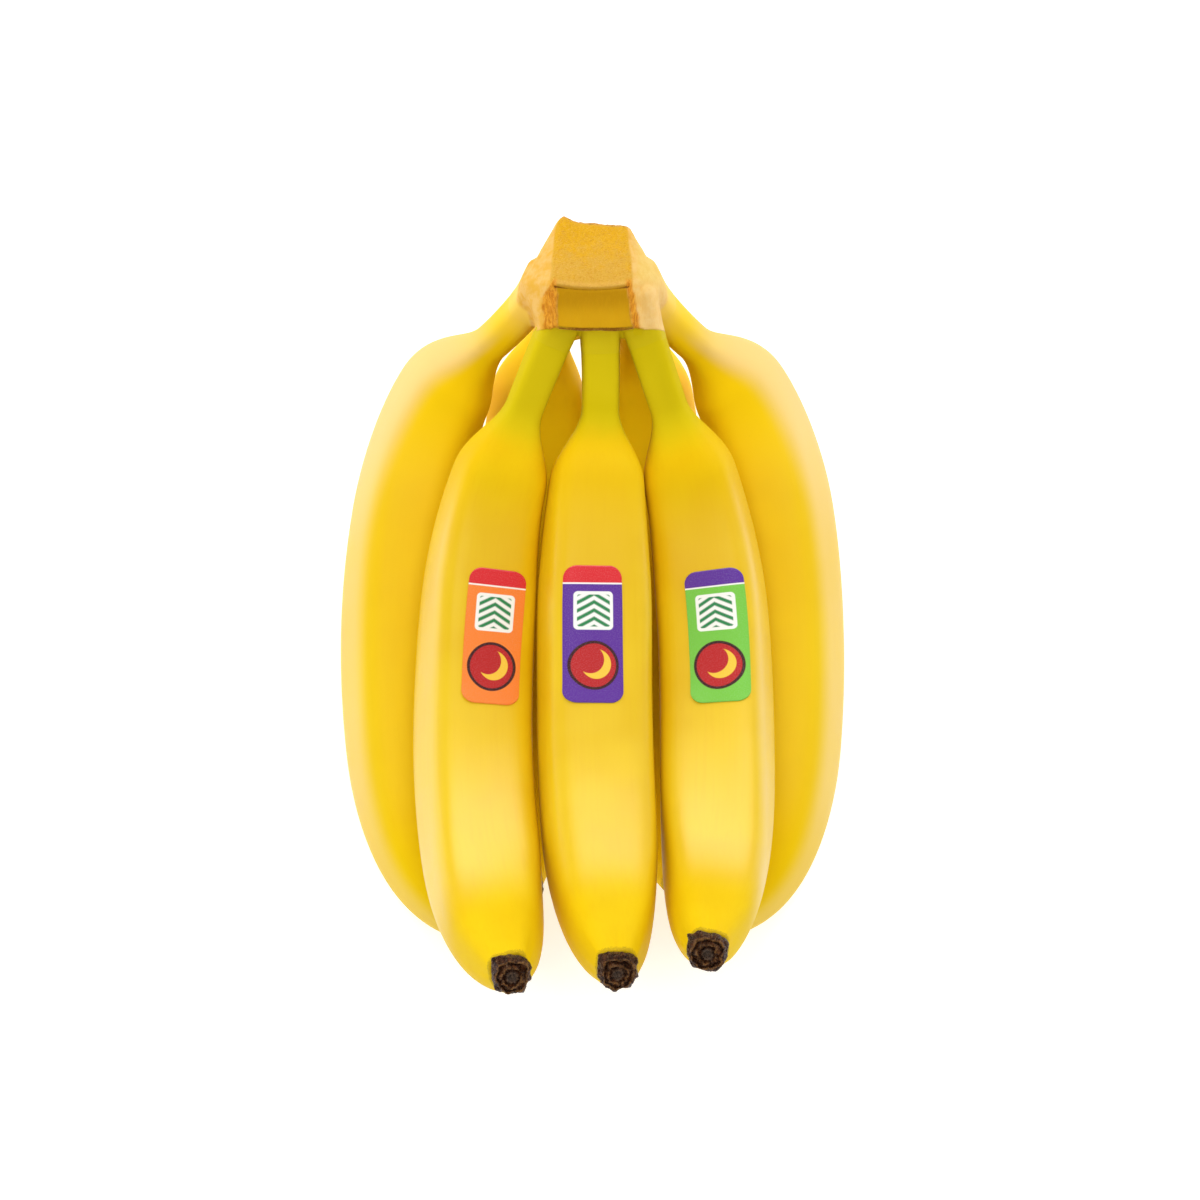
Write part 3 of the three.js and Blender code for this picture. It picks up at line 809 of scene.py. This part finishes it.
def build_blossom(finger, material):
    last = len(BLOSSOM_RINGS) - 1
    steps = np.linspace(0, last, BLOSSOM_RING_COUNT)
    angles = np.linspace(0, math.tau, BLOSSOM_SIDES, endpoint=False)
    step, angle = np.meshgrid(steps, angles, indexing="ij")
    phase = finger.phases
    spots = np.stack([np.cos(angle) * 2.2 + phase[2], np.sin(angle) * 2.2 + phase[3], step * 0.3], axis=-1)
    crumple = noise_at(spots) + 0.6 * noise_at(spots * 2.3) + 0.35 * noise_at(spots * 4.9)
    drift = noise_at(spots * 0.6 + (9, 4, 2))
    rings = step + BLOSSOM_DRIFT * drift * smoothstep((step - 4) / 5) * smoothstep((last - step) / 5)
    past, base_radius = ring_profile(rings)

    _, _, hollow, side = finger.frame(np.array(finger.length))
    square = math.atan2(SQUARE_DIRECTION @ side, SQUARE_DIRECTION @ hollow)
    horn = math.atan2(HORN_DIRECTION @ side, HORN_DIRECTION @ hollow)
    off_horn = np.angle(np.exp(1j * (angle - horn)))
    horn_share = np.exp(-(off_horn / 0.15) ** 2) * np.exp(-((past - 2.2) / 1.1) ** 2) * (base_radius > 4.2)

    square_share = np.clip((base_radius - 1) / 3.5, 0, 1) * np.clip(past + 1.2, 0, 1)
    outline = 1 + (squared(angle - square) - 1) * square_share
    star = 0.015 * np.cos(5 * (angle - finger.turn)) * np.clip(1 - np.abs(base_radius - 1.5) / 1.2, 0, 1)
    folds = 0.025 * np.sin(9 * angle + phase[0] + past) + 0.015 * np.sin(5 * angle + phase[1] - past * 0.8)
    inside = smoothstep((4.6 - base_radius) / 1.4)
    relief = star + folds + (0.1 + 0.12 * inside) * crumple
    radius = 0.97 * base_radius * outline * (1 + relief) + HORN_HEIGHT * horn_share
    wear_and_highlight = np.clip((past - 0.5) / 2, 0, 1)
    past = past + wear_and_highlight * (0.6 * crumple + 0.25 * np.sin(2 * angle + phase[4]) - 0.25)
    end_places = (finger.length - BLOSSOM_DEPTH, finger.length + BLOSSOM_HEIGHT)
    vertices, faces = ringed(finger, finger.length + past, angle, radius, end_places)

    rise, _ = ring_profile(rings)
    around_it = [ring_profile(rings + shift)[0] for shift in (-0.9, 0.9)]
    crest = np.clip((2 * rise - around_it[0] - around_it[1]) / 0.5, 0, 1) * smoothstep((step - 4) / 3)
    heart = np.clip((2.0 - base_radius) / 0.8, 0, 1)
    shifted = (radius * np.cos(angle) + phase[5] * 9, radius * np.sin(angle), past + phase[6] * 7)
    flat = np.stack(shifted, axis=-1).reshape(-1, 3)
    values = {
        "straight": np.vstack([flat, flat[:1], flat[-1:]]),
        "crest": np.append(crest.ravel(), [0, 0]),
        "heart": np.append(heart.ravel(), [0, 1]),
    }
    name, node = f"dried_flower_{finger.name}", f"blossom_tip_{finger.name}"
    make_piece(name, lie_down(vertices), faces, material, values, node)


# ---------- the labels ----------


def build_label(finger, material):
    """A thin strip with round corners that follows the skin, with one corner slightly lifted."""
    columns, rows = LABEL_COLUMNS, LABEL_ROWS
    along, around = finger.label
    centre_angle = math.radians(around)
    radius = float(finger.mean_radius(np.array(along)))
    before, after = finger.skin(np.array([along - 1.0, along + 1.0]), np.full(2, centre_angle))
    stretch = np.linalg.norm(after - before) / 2
    half_width, half_length = LABEL_WIDTH / 2, LABEL_LENGTH / 2
    across = -half_width * np.cos(np.linspace(0, math.pi, columns + 1))
    past = np.maximum(0, np.abs(across) - (half_width - LABEL_CORNER))
    reach = half_length - LABEL_CORNER + np.sqrt(np.maximum(0, LABEL_CORNER ** 2 - past ** 2))
    up = reach[:, None] * np.linspace(-1, 1, rows + 1)[None, :]
    across = np.broadcast_to(across[:, None], up.shape)
    off_corner = np.hypot(across - half_width, up - half_length)
    lift = LABEL_LIFT + CORNER_LIFT * np.exp(-0.5 * (off_corner / CORNER_REACH) ** 2)
    angle = centre_angle + across / radius
    sheets = [finger.skin(along + up / stretch, angle, lift + extra) for extra in (0, LABEL_THICKNESS)]
    vertices = np.vstack([sheet.reshape(-1, 3) for sheet in sheets])
    top = (columns + 1) * (rows + 1)

    def at(i, j):
        return i * (rows + 1) + j

    faces = []
    for i in range(columns):
        for j in range(rows):
            a, b, c, d = at(i, j), at(i + 1, j), at(i + 1, j + 1), at(i, j + 1)
            faces.extend([(top + a, top + b, top + c, top + d), (a, d, c, b)])
    rim = [at(i, 0) for i in range(columns)] + [at(columns, j) for j in range(rows)]
    rim += [at(i, rows) for i in range(columns, 0, -1)] + [at(0, j) for j in range(rows, 0, -1)]
    for a, b in zip(rim, rim[1:] + rim[:1]):
        faces.append((a, b, top + b, top + a))
    place = np.stack([across, -up, np.zeros(up.shape)], axis=-1).reshape(-1, 3)
    values = {"label_place": np.vstack([place, place])}
    name, node = f"sticker_{finger.name}", f"label_{finger.name}"
    make_piece(name, lie_down(vertices), faces, material, values, node)


# ---------- the crown ----------

# The crown sheathes each neck this far past its root. The sheath stands off the skin by SHEATH_SKIN, and
# at the root by SHEATH_SWELL more, which fades out over SHEATH_FADE. From SHEATH_END on it dips under.
SHEATH_REACH = 20
SHEATH_SKIN = 0.12
SHEATH_SWELL = 1.1
SHEATH_FADE = 13
SHEATH_END = 11
SHEATH_DIP = 0.9
# How softly the sheaths of each row join the rest
JOIN_SOFTNESS = {"upper": 0.7, "lower": 2.6}
# The plain neck stubs that the crown's mesh starts from
STUB_SIDES = 16
STUB_RINGS = 14
STUB_LIFT = 0.3
# The plain facets are set back by this before their detail is added
CROWN_SETBACK = 0.12


def crown_hull():
    """The crown's plain form."""
    shape = bmesh.new()
    corners = [shape.verts.new(corner) for corner in CROWN_CORNERS]
    bmesh.ops.convex_hull(shape, input=corners)
    return shape


def hull_planes():
    """Outward normals and offsets of the crown's faces."""
    shape = crown_hull()
    shape.normal_update()
    middle = np.mean(CROWN_CORNERS, axis=0)
    planes = []
    for face in shape.faces:
        normal = np.array(face.normal)
        offset = normal @ np.array(face.verts[0].co)
        if offset < normal @ middle:
            normal, offset = -normal, -offset
        if not any(normal @ other > 0.9999 for other, _ in planes):
            planes.append((normal, offset))
    shape.free()
    return np.array([n for n, _ in planes]), np.array([d for _, d in planes])


PLANES = hull_planes()


def crown_body(points):
    """Signed distance to the crown's body, with slightly rounded edges."""
    normals, offsets = PLANES
    distances = points @ normals.T - offsets
    top = distances.max(axis=1)
    total = np.exp((distances - top[:, None]) / CROWN_EDGE).sum(axis=1)
    return top + CROWN_EDGE * np.log(total)


def sheath(finger, points):
    """Signed distance to the start of a neck, the place along it and the angle about it."""
    along = np.linspace(0, SHEATH_REACH, 21)
    centre, tangent, hollow, side = finger.frame(along)
    nearest = np.linalg.norm(points[:, None] - centre, axis=2).argmin(axis=1)
    offset = points - centre[nearest]
    step = np.sum(offset * tangent[nearest], axis=1)
    along_here = along[nearest] + step
    angle = np.arctan2(np.sum(offset * side[nearest], axis=1), np.sum(offset * hollow[nearest], axis=1))
    across = np.linalg.norm(offset - step[:, None] * tangent[nearest], axis=1)
    reach = np.clip(along_here, 0, SHEATH_REACH)
    swell = SHEATH_SKIN + SHEATH_SWELL * (1 - smoothstep(reach / SHEATH_FADE))
    swell -= SHEATH_DIP * smoothstep((reach - SHEATH_END) / (SHEATH_REACH - SHEATH_END)) ** 2
    surface = finger.skin_radius(reach, angle) + swell
    past = np.maximum(0, along_here - SHEATH_REACH) + np.maximum(0, -along_here)
    return across - surface + past, along_here, angle


def smooth_union(a, b, softness):
    share = np.clip(0.5 + 0.5 * (b - a) / softness, 0, 1)
    return b + (a - b) * share - softness * share * (1 - share)


def crown_field(points):
    value = crown_body(points)
    for finger in FINGERS:
        row = "upper" if finger.name.startswith("upper") else "lower"
        value = smooth_union(value, sheath(finger, points)[0], JOIN_SOFTNESS[row])
    return value


def crown_blank():
    """A coarse closed mesh near the crown's surface: its hull and the neck stubs, remeshed as one."""
    shape = crown_hull()
    angles = np.linspace(0, math.tau, STUB_SIDES, endpoint=False)
    along, angle = np.meshgrid(np.linspace(0, SHEATH_REACH, STUB_RINGS), angles, indexing="ij")
    for finger in FINGERS:
        radius = finger.skin_radius(along, angle) + STUB_LIFT
        vertices, faces = ringed(finger, along, angle, radius, (0, SHEATH_REACH))
        made = [shape.verts.new(vertex) for vertex in vertices]
        for face in faces:
            shape.faces.new([made[k] for k in face])
    bmesh.ops.recalc_face_normals(shape, faces=shape.faces)
    mesh = bpy.data.meshes.new("crown_blank")
    shape.to_mesh(mesh)
    shape.free()
    blank = placed("crown_blank", mesh)
    remesh = blank.modifiers.new("remesh", "REMESH")
    remesh.mode = "VOXEL"
    remesh.voxel_size = CROWN_VOXEL
    bpy.context.view_layer.update()
    fine = bpy.data.meshes.new_from_object(blank.evaluated_get(bpy.context.evaluated_depsgraph_get()))
    bpy.data.objects.remove(blank)
    bpy.data.meshes.remove(mesh)
    points = np.array([tuple(vertex.co) for vertex in fine.vertices])
    faces = [tuple(face.vertices) for face in fine.polygons]
    bpy.data.meshes.remove(fine)
    return points, faces


def edge_pairs(faces):
    pairs = {tuple(sorted(pair)) for face in faces for pair in zip(face, face[1:] + face[:1])}
    return np.array(sorted(pairs))


def relaxed(points, pairs, share):
    """Each point moved part of the way to the mean of its neighbours."""
    total = np.zeros_like(points)
    count = np.zeros(len(points))
    for a, b in ((0, 1), (1, 0)):
        np.add.at(total, pairs[:, a], points[pairs[:, b]])
        np.add.at(count, pairs[:, a], 1)
    return points + share * (total / count[:, None] - points)


def field_slope(points, step=0.08):
    slope = np.empty_like(points)
    for axis in range(3):
        shift = np.zeros(3)
        shift[axis] = step
        slope[:, axis] = (crown_field(points + shift) - crown_field(points - shift)) / (2 * step)
    return slope


def settle_on_field(points, pairs):
    """Moves the blank's points onto the crown's true surface, keeping them evenly spread."""
    for turn in range(4):
        if turn < 3:
            points = relaxed(points, pairs, 0.5)
        slope = field_slope(points)
        steepness = np.maximum(np.sum(slope * slope, axis=1), 0.2)
        move = -(crown_field(points) / steepness)[:, None] * slope
        points = points + np.clip(move, -0.6, 0.6)
    return points


def near_segment(points, start, end):
    start, end = np.array(start, float), np.array(end, float)
    share = np.clip(((points - start) @ (end - start)) / ((end - start) @ (end - start)), 0, 1)
    return np.linalg.norm(points - start - share[:, None] * (end - start), axis=1)


def wander(points, scale, seed):
    """Smooth unevenness along y, for edges that are not ruled lines."""
    return noise_at(points * (0, scale, scale * 0.5) + (seed, 0, 0))


def off_facet(points, lower, upper):
    """Distance from the plane through two of the crown's front edges."""
    rise, out = upper[0] - lower[0], upper[1] - lower[1]
    normal = np.array([0, -out, rise]) / math.hypot(out, rise)
    return np.abs((points - (0, *WAIST)) @ normal)


def crown_zones(points):
    """How far each vertex belongs to each kind of surface.

    cut: the furry slope at the front. stump: the end grain on top. smooth: the waxy facet under the slope,
    and low, its foot. bark: the torn strips beside it. rim: a painted highlight along the edge over it.
    shade_and_cracks: painted shade along the facet's foot and under the cut's overhanging edge, and dark
    cracks along the inner edges of the bark strips. fresh: the greener flank on the right.
    """
    x, y, z = points.T
    foot, waist = FOOT[0], WAIST[0]
    front = over(z, 8.5, 1.5)
    ragged = 0.8 * wander(points, 0.45, 3.0)
    ragged_too = 0.8 * wander(points, 0.5, 17.0)
    left_inner = -10.1 + 0.5 * ragged
    left_outer = -14.3 + 3.2 * smoothstep((y - 86) / 5) + ragged_too
    right_inner = 12.0 - 2.2 * (y - foot) / (waist - foot) + 0.4 * ragged_too
    right_outer = right_inner + 1.9 + ragged

    smooth = under(off_facet(points, FOOT, WAIST), 1.0, 0.6)
    smooth = smooth * between(x, left_inner, right_inner, 0.5) * between(y, foot - 0.5, waist - 0.2, 0.6)
    bark = between(x, left_outer, left_inner, 0.8) + between(x, right_inner, right_outer, 0.8)

    # Painted shade: a dark line along the foot of the smooth facet, where the necks go in under it, and
    # under the cut's overhanging edge, darkest at its corners
    off_foot = near_segment(points, (-10, foot - 0.4, 12.8), (12, foot - 0.4, 12.8))
    off_waist = near_segment(points, (-10.5, waist - 0.5, 15.8), (10, waist - 0.5, 15.8))
    lip = (off_waist < 1) * between(y, waist - 1.3, waist - 0.5, 0.5)
    lip = lip * (0.6 + 0.4 * smoothstep((np.abs(x) - 6) / 4))
    shade_and_cracks = np.maximum(under(off_foot, 0.75, 0.6), lip)
    for inner in (left_inner, right_inner):
        crack = under(np.abs(x - inner), 0.25, 0.5) * front * between(y, foot - 0.5, waist + 0.5, 1)
        shade_and_cracks = np.maximum(shade_and_cracks, 0.55 * crack)
    return {
        "cut": under(off_facet(points, WAIST, TOP), 0.9, 0.5) * over(y, waist - 0.4, 0.8),
        "smooth": smooth,
        "bark": bark * front * between(y, foot - 1, waist + 1.5, 1.5),
        "stump": over(y + 0.073 * x, TOP[0] - 0.9, 0.8),
        # rim: a painted highlight along the cut's edge over the smooth facet
        "rim": between(y, waist - 0.3, waist + 1.3, 0.6) * between(x, -10.6, 9.8, 0.8) * front,
        "shade_and_cracks": shade_and_cracks,
        "low": under(y, 83, 8),
        "fresh": over(x, 13, 3) * over(y, waist + 1, 6),
    }


def sagged(points):
    """The two edges across the front hang slightly in their middles, and the top's left corner stands up."""
    x, y, z = points.T
    front = smoothstep((z - 7) / 6)
    upper = 1.0 * np.clip(1 - (x / 10.5) ** 2, 0, 1) * np.exp(-((y - 90) / 3.2) ** 2)
    lower = 0.9 * np.clip(1 - ((x - 1) / 12) ** 2, 0, 1) * smoothstep((84 - y) / 6)
    corner = 1.4 * np.exp(-((x + 8.2) / 2.2) ** 2) * smoothstep((y - 103) / 5)
    return points + np.stack([np.zeros(len(x)), corner - front * (upper + lower), np.zeros(len(x))], axis=1)


def crown_relief(points, zones):
    """Height of the crown's own detail over its plain facets, in millimetres."""
    fibre = noise_at(points * (0.9, 0.22, 0.9))
    rough = noise_at(points * (1.3, 0.5, 1.3) + (0, 40, 0))
    lump = noise_at(points * 0.16)
    relief = 0.35 * lump + 0.12 * fibre + zones["bark"] * (0.5 * rough - 0.1)
    relief += (0.14 * zones["cut"] + 0.3 * zones["stump"]) * rough
    return relief - 0.45 * zones["smooth"] - 0.35 * zones["shade_and_cracks"]


def sheathing_skin(points):
    """The skin's attributes from the nearest neck at each point, and the distance to that neck."""
    nearest = np.full(len(points), np.inf)
    values = {}
    for finger in FINGERS:
        gap, along, angle = sheath(finger, points)
        own = skin_attributes(finger, along, angle, finger.skin_radius(np.clip(along, 0, 200), angle))
        closer = gap < nearest
        nearest = np.where(closer, gap, nearest)
        for key, column in own.items():
            chosen = closer[:, None] if column.ndim == 2 else closer
            values[key] = np.where(chosen, column, values.get(key, 0))
    return values, nearest


def build_crown(material):
    points, faces = crown_blank()
    points = settle_on_field(points, edge_pairs(faces))
    slope = field_slope(points)
    outward = slope / np.maximum(np.linalg.norm(slope, axis=1, keepdims=True), 1e-6)
    body = crown_body(points)
    values, off_neck = sheathing_skin(points)
    zones = crown_zones(points)

    foot = FOOT[0]
    _, y, z = points.T
    flesh = under(body, 1.2, 2.2) * over(y, foot + 0.05, 0.5)
    flesh = np.maximum(flesh, over(y, foot + 0.1, 1.2) * over(z, -4, 4))

    relief = crown_relief(points, zones) * smoothstep((3.5 - body) / 3.5)
    raised = (relief - CROWN_SETBACK) * smoothstep((5 - body) / 5)
    points = sagged(points + outward * raised[:, None])

    # Painted shade: the web of flesh between two necks, under the smooth facet, is darkened where shade
    # falls between them
    _, y, z = points.T
    web = over(off_neck, 0.7, 0.8) * under(y, foot + 0.4, 0.6) * over(z, 4, 4)
    zones["shade_and_cracks"] = np.maximum(zones["shade_and_cracks"], 0.75 * web)
    values.update(zones)
    values["flesh"] = np.maximum(flesh, web)
    values["hand"] = points
    make_piece("crown_flesh", lie_down(points), faces, material, values, "crown")


# ---------- the stage ----------

# The camera sits this far out along the hand's own z axis, and this far to the side
CAMERA_DISTANCE = 830
CAMERA_SIDE = 2.3
CAMERA_LENS = 85.9

# Where the lamps are aimed, in metres, and the light from all round
LIT_SPOT = (0, 0, 0.05)
WORLD_LIGHT = 0.25
FLOOR_SIZE = 6.0


def build_camera():
    data = bpy.data.cameras.new("camera")
    data.sensor_width = 36
    data.lens = CAMERA_LENS
    data.clip_start = 0.01
    data.clip_end = 20
    camera = placed("camera", data)
    camera.location = lie_down(np.array([CAMERA_SIDE, 0, CAMERA_DISTANCE]))
    camera.rotation_euler = Euler((LEAN, 0, 0))
    bpy.context.scene.camera = camera


def build_floor():
    shape = bmesh.new()
    bmesh.ops.create_grid(shape, x_segments=8, y_segments=8, size=FLOOR_SIZE / 2)
    mesh = bpy.data.meshes.new("floor")
    shape.to_mesh(mesh)
    shape.free()
    mesh.materials.append(floor_material())
    floor = placed("floor", mesh)


def area_light(name, place, size, power, mirrored=False):
    """An oval softbox aimed at the bunch. It either lights the surfaces or is mirrored in them."""
    data = bpy.data.lights.new(name, "AREA")
    data.shape = "ELLIPSE"
    data.size, data.size_y = size
    data.energy = power
    light = placed(name, data)
    light.location = place
    light.rotation_euler = (Vector(LIT_SPOT) - Vector(place)).to_track_quat("-Z", "Y").to_euler()
    light.visible_diffuse = not mirrored
    light.visible_glossy = mirrored


def build_lights():
    area_light("left_softbox", (-0.9, 0.3, 0.3), (0.4, 1.2), 4.8)
    area_light("right_softbox", (0.9, 0.3, 0.3), (0.4, 1.2), 3.6)
    area_light("crown_sheen", (0.2, 0.935, 0.73), (1.6, 1.2), 10.5, mirrored=True)
    area_light("crown_fill", (0.0, 0.89, 0.8), (1.4, 1.2), 8)
    area_light("frontal", (0.0, -0.2, 1.05), (0.6, 0.6), 3.7)
    area_light("front_fill", (0.0, -0.9, 0.6), (0.9, 0.4), 2.5)
    world = bpy.data.worlds.new("studio")
    world.use_nodes = True
    background = world.node_tree.nodes["Background"]
    background.inputs["Color"].default_value = (1, 1, 1, 1)
    background.inputs["Strength"].default_value = WORLD_LIGHT
    bpy.context.scene.world = world


# ---------- the scene ----------

bpy.context.scene.view_settings.view_transform = "Standard"
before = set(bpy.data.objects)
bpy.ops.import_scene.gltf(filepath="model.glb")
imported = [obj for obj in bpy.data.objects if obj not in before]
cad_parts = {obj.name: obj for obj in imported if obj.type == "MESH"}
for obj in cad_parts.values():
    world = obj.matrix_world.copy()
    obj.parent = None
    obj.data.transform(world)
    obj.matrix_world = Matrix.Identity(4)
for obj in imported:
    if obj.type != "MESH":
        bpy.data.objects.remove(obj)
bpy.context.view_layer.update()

build_camera()
build_floor()
build_lights()

skin = skin_material()
flower = blossom_material()
# Each label's slot, and the colours of its ground and of its end band
prints = {
    "upper_left": ("label_orange", "f5832e", "d8232a"),
    "upper_middle": ("label_purple", "5b2a94", "d8232a"),
    "upper_right": ("label_green", "76c341", "5b2a94"),
}

build_crown(crown_material())
for finger in FINGERS:
    build_skin(finger, skin)
    build_blossom(finger, flower)
    if finger.label:
        slot, ground, band = prints[finger.name]
        build_label(finger, label_material(slot, ground, band))
